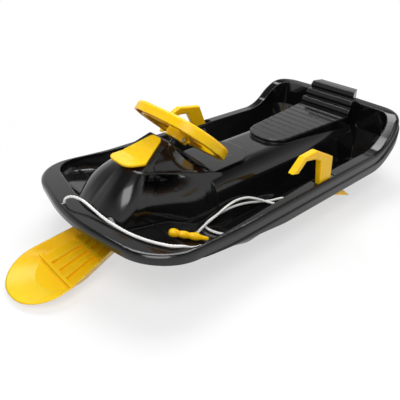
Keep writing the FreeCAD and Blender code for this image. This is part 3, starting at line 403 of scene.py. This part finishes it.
def line_points(points):
    """Points along the smooth line, read from a curve that has no thickness."""
    bare = new_line("rope_reading", points, 0.0)
    mesh = curve_mesh(bare)
    places = [vertex.co.copy() for vertex in mesh.vertices]
    bpy.data.objects.remove(bare)
    bpy.data.meshes.remove(mesh)
    return places


def even_places(places, step):
    """Places at even steps along a read line."""
    even = []
    walked = 0.0
    for first, second in zip(places, places[1:]):
        length = (second - first).length
        while len(even) * step <= walked + length:
            even.append(first.lerp(second, (len(even) * step - walked) / length))
        walked += length
    return even


def make_braid(name, places):
    """Braid of yarns that cross over and under each other round the rope's line."""
    line = bpy.data.curves.new(name, "CURVE")
    line.dimensions = "3D"
    line.bevel_depth = STRAND_THICKNESS / 2
    line.bevel_resolution = 0
    line.use_fill_caps = True
    aside = Vector((0, 0, 1)).orthogonal()
    frames = []
    for i, place in enumerate(places):
        ahead = (places[min(i + 1, len(places) - 1)] - places[max(i - 1, 0)]).normalized()
        aside = (aside - ahead * aside.dot(ahead)).normalized()
        frames.append((place, aside.copy(), ahead.cross(aside)))
    for way in (1, -1):
        for strand in range(BRAID_STRANDS):
            spline = line.splines.new("POLY")
            spline.points.add(len(frames) - 1)
            for i, (place, side, top) in enumerate(frames):
                turn = 2 * math.pi * i * BRAID_STEP / BRAID_PITCH
                angle = 2 * math.pi * strand / BRAID_STRANDS + way * turn
                reach = BRAID_RADIUS + way * BRAID_LIFT * math.cos(BRAID_STRANDS * turn)
                at = place + (side * math.cos(angle) + top * math.sin(angle)) * reach
                spline.points[i].co = (*at, 1.0)
    curve = bpy.data.objects.new(name + "_line", line)
    scene.collection.objects.link(curve)
    mesh = curve_mesh(curve)
    bpy.data.objects.remove(curve)
    piece = bpy.data.objects.new(name, mesh)
    scene.collection.objects.link(piece)
    for face in mesh.polygons:
        face.use_smooth = True
    return piece


def knot_points():
    """Overhand knot drawn tight under the rim."""
    low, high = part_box("rope_knot")
    middle = (Vector(low) + Vector(high)) / 2
    points = []
    for i in range(KNOT_POINTS + 1):
        turn = 2 * math.pi * i / KNOT_POINTS
        points.append(middle + Vector((
            KNOT_SPREAD * (math.sin(turn) + 2 * math.sin(2 * turn)),
            KNOT_SPREAD * (math.cos(turn) - 2 * math.cos(2 * turn)),
            -KNOT_HEIGHT * math.sin(3 * turn))))
    return points


def make_rope():
    """Tow rope: core, braid on it and the knot that holds it under the rim."""
    core = new_line("tow_rope_core", ROPE_ROUTE, CORE_THICKNESS)
    places = line_points(ROPE_ROUTE)
    braid = make_braid("tow_rope_braid", even_places(places, BRAID_STEP))
    knot = new_line("tow_rope_knot", knot_points(), KNOT_THICKNESS)
    for piece in (core, braid, knot):
        piece.data.materials.append(rope_yarn)
        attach(piece, "sled")
    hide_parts("tow_rope")
    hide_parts("rope_knot")


# Seat ribs

def seat_half(x):
    """Half width of the seat's top at a place along it, with its oval front."""
    share = (SEAT_FRONT[0] - x) / (SEAT_FRONT[0] - SEAT_REAR[0])
    half = SEAT_FRONT_HALF + (SEAT_REAR_HALF - SEAT_FRONT_HALF) * share
    into = min((SEAT_FRONT[0] - x) / SEAT_OVAL, 1.0)
    return half - SEAT_OVAL * (1 - math.sqrt(1 - (1 - into) ** 2))


def make_seat_ribs():
    """Ribs across the seat, each with its riser to the front."""
    ribs = bmesh.new()
    pitch = (SEAT_REAR[0] - SEAT_FRONT[0]) / SEAT_RIBS
    rise = (SEAT_REAR[1] - SEAT_FRONT[1]) / SEAT_RIBS
    across, along = SEAT_RIB_CELLS
    for i in range(SEAT_RIBS):
        front = SEAT_FRONT[0] + i * pitch
        made = bmesh.ops.create_grid(ribs, x_segments=across, y_segments=along, size=0.5)
        base = SEAT_FRONT[1] + i * rise
        for vertex in made["verts"]:
            back = 0.5 - vertex.co.x
            x = front + pitch * (SEAT_RIB_GAP + (1 - SEAT_RIB_GAP) * back)
            z = base + rise * back + SEAT_STEP * back + SEAT_RIB_TOP * (1 - SEAT_RIB_FALL * back)
            vertex.co = (x, 2 * vertex.co.y * (seat_half(x) - SEAT_RIB_INSET), z)
    faces = list(ribs.faces)
    sunk = bmesh.ops.extrude_face_region(ribs, geom=faces)
    low = [item for item in sunk["geom"] if isinstance(item, bmesh.types.BMVert)]
    bmesh.ops.translate(ribs, verts=low, vec=(0, 0, -SEAT_RIB_SINK))
    bmesh.ops.recalc_face_normals(ribs, faces=ribs.faces)
    mesh = bpy.data.meshes.new("seat_ribs")
    ribs.to_mesh(mesh)
    ribs.free()
    piece = bpy.data.objects.new("seat_ribs", mesh)
    scene.collection.objects.link(piece)
    soft = piece.modifiers.new("soft_edges", "BEVEL")
    soft.width = SEAT_RIB_ROUND
    soft.segments = 2
    soft.limit_method = "ANGLE"
    mesh.materials.append(black_plastic)
    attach(piece, "sled")


# Crowned skins of the hood and the console cover

def rounding(corner, back, ahead, radius, count):
    """Points of a rounded corner in plan, from its start to its end."""
    start = (back - corner).normalized()
    end = (ahead - corner).normalized()
    half_angle = start.angle(end) / 2
    middle = corner + (start + end).normalized() * radius / math.sin(half_angle)
    reach = radius / math.tan(half_angle)
    first = corner + start * reach - middle
    last = corner + end * reach - middle
    return [middle + first.lerp(last, i / count).normalized() * radius for i in range(count + 1)]


def hood_section(height):
    """Nose, half width, corner radius and rear half width of the hood at a height."""
    foot, head = (HOOD_FOOT, HOOD_HIGH) if height < HOOD_HIGH[0] else (HOOD_HIGH, HOOD_TOP)
    share = (height - foot[0]) / (head[0] - foot[0])
    return [low + (high - low) * share for low, high in zip(foot[1:], head[1:])]


def hood_outline(height):
    """Plan outline of the hood at a height, from its left side round the nose to its right."""
    nose, half, radius, rear_half = hood_section(height)
    rear = Vector((HOOD_REAR, rear_half))
    corner = Vector((nose - HOOD_RAKE * half, half))
    tip = Vector((nose, 0))
    far_corner = Vector((corner.x, -corner.y))
    corner_arc = rounding(corner, rear, tip, radius, HOOD_CORNER_COLUMNS)
    tip_arc = rounding(tip, corner, far_corner, radius * HOOD_NOSE_ROUND, HOOD_TIP_COLUMNS)
    tip_arc = tip_arc[:HOOD_TIP_COLUMNS // 2 + 1]
    side_rear = rear.lerp(corner_arc[0], HOOD_SIDE_START)
    side = [side_rear.lerp(corner_arc[0], i / HOOD_SIDE_COLUMNS) for i in range(HOOD_SIDE_COLUMNS)]
    left = side + corner_arc + [corner_arc[-1].lerp(tip_arc[0], 0.5)] + tip_arc
    return left + [Vector((place.x, -place.y)) for place in reversed(left[:-1])]


def hood_place(column, height):
    """Place on the hood's straight-sided surface."""
    return Vector((*hood_outline(height)[column], height))


def hood_outward(column, height, columns):
    """Direction that the hood's surface faces."""
    behind = hood_place(max(column - 1, 0), height)
    ahead = hood_place(min(column + 1, columns), height)
    up = hood_place(column, height + HOOD_SLOPE_STEP) - hood_place(column, height)
    return up.cross(ahead - behind).normalized()


def hood_span(column, columns):
    """Heights between which the hood shows: the tub's floor and the parting line."""
    top = PARTING_REAR[1]
    for _ in range(PARTING_STEPS):
        top = PARTING_REAR[1] + PARTING_SLOPE * (hood_place(column, top).x - PARTING_REAR[0])
    start = hood_place(column, top) + hood_outward(column, top, columns) * HOOD_LIFT
    down = (hood_place(column, HOOD_FOOT[0]) - hood_place(column, top)).normalized()
    found, place = nodes["hull"].ray_cast(start + down * HOOD_LIFT, down)[:2]
    return place.z if found else HOOD_FOOT[0], top


def finish_skin(skin, name):
    """Piece of the sled made of a crowned skin, closed by a slightly smaller copy behind it."""
    behind = bmesh.ops.extrude_face_region(skin, geom=list(skin.faces))
    inner = [item for item in behind["geom"] if isinstance(item, bmesh.types.BMVert)]
    about = Matrix.Translation(-SKIN_CENTRE)
    bmesh.ops.scale(skin, verts=inner, vec=(SKIN_SHRINK,) * 3, space=about)
    bmesh.ops.recalc_face_normals(skin, faces=skin.faces)
    mesh = bpy.data.meshes.new(name)
    skin.to_mesh(mesh)
    skin.free()
    for face in mesh.polygons:
        face.use_smooth = True
    piece = bpy.data.objects.new(name, mesh)
    scene.collection.objects.link(piece)
    mesh.materials.append(black_plastic)
    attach(piece, "sled")


def make_hood_skin():
    """Crowned skin on the hood's sides and nose, flush with the hull along its edges."""
    columns = len(hood_outline(HOOD_FOOT[0])) - 1
    spans = [hood_span(column, columns) for column in range(columns + 1)]
    skin = bmesh.new()
    made = bmesh.ops.create_grid(skin, x_segments=columns, y_segments=HOOD_ROWS, size=0.5)
    for vertex in made["verts"]:
        column = round((vertex.co.x + 0.5) * columns)
        up = vertex.co.y + 0.5
        low, high = spans[column]
        height = low + (high - low) * up
        side = min(column, columns - column) / columns
        nose = max((side - HOOD_NOSE_START) / (0.5 - HOOD_NOSE_START), 0.0)
        crown = math.sin(math.pi * up) * min(side / HOOD_CROWN_FADE, 1.0)
        crown *= 1 - (1 - HOOD_NOSE_CROWN) * nose
        lift = (HOOD_CROWN + HOOD_SINK) * crown - HOOD_SINK
        vertex.co = hood_place(column, height) + hood_outward(column, height, columns) * lift
    finish_skin(skin, "hood_skin")


def cover_half(x, height):
    """Half width of the console cover's side at a place."""
    nose, half, radius, rear_half = hood_section(height)
    ahead = (x - HOOD_REAR) / (nose - HOOD_RAKE * half - HOOD_REAR)
    return rear_half + (half - rear_half) * ahead - COVER_INSET


def make_cover_skin():
    """Skin on both sides of the console cover, flush at its top and flared to a lip at its foot."""
    skin = bmesh.new()
    for way in (1, -1):
        made = bmesh.ops.create_grid(skin, x_segments=COVER_COLUMNS, y_segments=COVER_ROWS,
                                     size=0.5)
        for vertex in made["verts"]:
            along = vertex.co.x + 0.5
            up = vertex.co.y + 0.5
            x = COVER_SIDE[0] + (COVER_SIDE[1] - COVER_SIDE[0]) * along
            slope = COVER_REAR_SLOPE if x < COVER_RIDGE[0] else COVER_FRONT_SLOPE
            high = COVER_RIDGE[1] + slope * (x - COVER_RIDGE[0]) - COVER_EDGE
            low = PARTING_REAR[1] + PARTING_SLOPE * (x - PARTING_REAR[0]) + COVER_EDGE
            rise = max(up - COVER_LIP, 0.0) / (1 - COVER_LIP)
            height = low + (high - low) * rise
            spread = math.sin(math.pi * along) ** COVER_FLARE_FADE
            flare = COVER_FLARE * math.cos(math.pi / 2 * rise) * spread
            lift = flare - HOOD_SINK * abs(2 * along - 1) if up > 0 else -COVER_RETURN
            vertex.co = (x, way * (cover_half(x, height) + lift), height)
    finish_skin(skin, "cover_skin")


# Floor, light and camera

def make_floor():
    """Pale floor that shows white away from the sled and keeps its shadow."""
    grid = bmesh.new()
    bmesh.ops.create_grid(grid, x_segments=1, y_segments=1, size=FLOOR_SIZE)
    mesh = bpy.data.meshes.new("studio_floor")
    grid.to_mesh(mesh)
    grid.free()
    floor = bpy.data.objects.new("studio_floor", mesh)
    scene.collection.objects.link(floor)
    material, tree, shader = new_material("pale_floor")
    shader.inputs["Base Color"].default_value = (FLOOR_GREY, FLOOR_GREY, FLOOR_GREY, 1.0)
    shader.inputs["Roughness"].default_value = FLOOR_ROUGHNESS
    glow = add_node(tree, "ShaderNodeEmission", Color=WHITE, Strength=1.0)
    place = add_node(tree, "ShaderNodeTexCoord")
    length = add_node(tree, "ShaderNodeVectorMath", operation="LENGTH")
    tree.links.new(place.outputs["Object"], length.inputs[0])
    far = ranged(tree, length.outputs["Value"], *FLOOR_GLOW_REACH, *FLOOR_GLOW_SHARE)
    path = add_node(tree, "ShaderNodeLightPath")
    seen = add_node(tree, "ShaderNodeMath", operation="ADD", use_clamp=True)
    tree.links.new(path.outputs["Is Camera Ray"], seen.inputs[0])
    tree.links.new(path.outputs["Is Glossy Ray"], seen.inputs[1])
    mirrored = add_node(tree, "ShaderNodeMath", operation="ADD", use_clamp=True)
    tree.links.new(seen.outputs["Value"], mirrored.inputs[0])
    tree.links.new(path.outputs["Is Transmission Ray"], mirrored.inputs[1])
    share = add_node(tree, "ShaderNodeMath", operation="MULTIPLY")
    tree.links.new(far, share.inputs[0])
    tree.links.new(mirrored.outputs["Value"], share.inputs[1])
    mix = add_node(tree, "ShaderNodeMixShader")
    tree.links.new(share.outputs["Value"], mix.inputs["Fac"])
    tree.links.new(shader.outputs["BSDF"], mix.inputs[1])
    tree.links.new(glow.outputs["Emission"], mix.inputs[2])
    tree.links.new(mix.outputs["Shader"], tree.nodes["Material Output"].inputs["Surface"])
    mesh.materials.append(material)


def make_world():
    """Soft room light, white to the camera, with a ceiling and a card that the gloss shows."""
    world = bpy.data.worlds.new("studio")
    scene.world = world
    world.use_nodes = True
    tree = world.node_tree
    light = tree.nodes["Background"]
    light.inputs["Color"].default_value = WHITE
    path = add_node(tree, "ShaderNodeLightPath")
    seen = add_node(tree, "ShaderNodeMath", operation="ADD", use_clamp=True)
    tree.links.new(path.outputs["Is Camera Ray"], seen.inputs[0])
    tree.links.new(path.outputs["Is Transmission Ray"], seen.inputs[1])
    direction = add_node(tree, "ShaderNodeTexCoord")
    height = add_node(tree, "ShaderNodeSeparateXYZ")
    tree.links.new(direction.outputs["Generated"], height.inputs["Vector"])
    ceiling = ranged(tree, height.outputs["Z"], *CEILING_HEIGHTS, *CEILING_LIGHT)
    card = add_node(tree, "ShaderNodeVectorMath", operation="DOT_PRODUCT")
    tree.links.new(direction.outputs["Generated"], card.inputs[0])
    card.inputs[1].default_value = CARD_DIRECTION
    bright = ranged(tree, card.outputs["Value"], *CARD_SPREAD, *CARD_LIGHT)
    bright.node.interpolation_type = "SMOOTHSTEP"
    mirrored = add_node(tree, "ShaderNodeMath", operation="MULTIPLY")
    tree.links.new(path.outputs["Is Glossy Ray"], mirrored.inputs[0])
    tree.links.new(added(tree, ceiling, bright, 1.0), mirrored.inputs[1])
    room = ranged(tree, path.outputs["Is Glossy Ray"], 0.0, 1.0, ROOM_LIGHT, 0.0)
    soft = add_node(tree, "ShaderNodeMath", operation="ADD")
    tree.links.new(room, soft.inputs[0])
    tree.links.new(mirrored.outputs["Value"], soft.inputs[1])
    strength = add_node(tree, "ShaderNodeMath", operation="MAXIMUM")
    tree.links.new(soft.outputs["Value"], strength.inputs[0])
    tree.links.new(seen.outputs["Value"], strength.inputs[1])
    tree.links.new(strength.outputs["Value"], light.inputs["Strength"])


def add_softbox(name, place, aim, size, power):
    """Rectangular lamp at a place, aimed at another."""
    lamp = bpy.data.lights.new(name, "AREA")
    lamp.shape = "RECTANGLE"
    lamp.size, lamp.size_y = size
    lamp.energy = power
    holder = bpy.data.objects.new(name, lamp)
    scene.collection.objects.link(holder)
    holder.location = place
    towards = Vector(aim) - Vector(place)
    holder.rotation_euler = towards.to_track_quat("-Z", "Y").to_euler()


def add_camera():
    """Camera at the photograph's place and angle."""
    lens = bpy.data.cameras.new("photo_camera")
    lens.sensor_width = SENSOR_WIDTH
    lens.lens = FOCAL_PIXELS / PHOTO_WIDTH * SENSOR_WIDTH
    camera = bpy.data.objects.new("photo_camera", lens)
    scene.collection.objects.link(camera)
    camera.location = CAMERA_EYE
    camera.rotation_euler = CAMERA_BACK.to_track_quat("Z", "Y").to_euler()
    scene.camera = camera


dress_cad_nodes()
make_rope()
make_seat_ribs()
make_hood_skin()
make_cover_skin()
make_floor()
make_world()
for softbox in SOFTBOXES:
    add_softbox(*softbox)
add_camera()
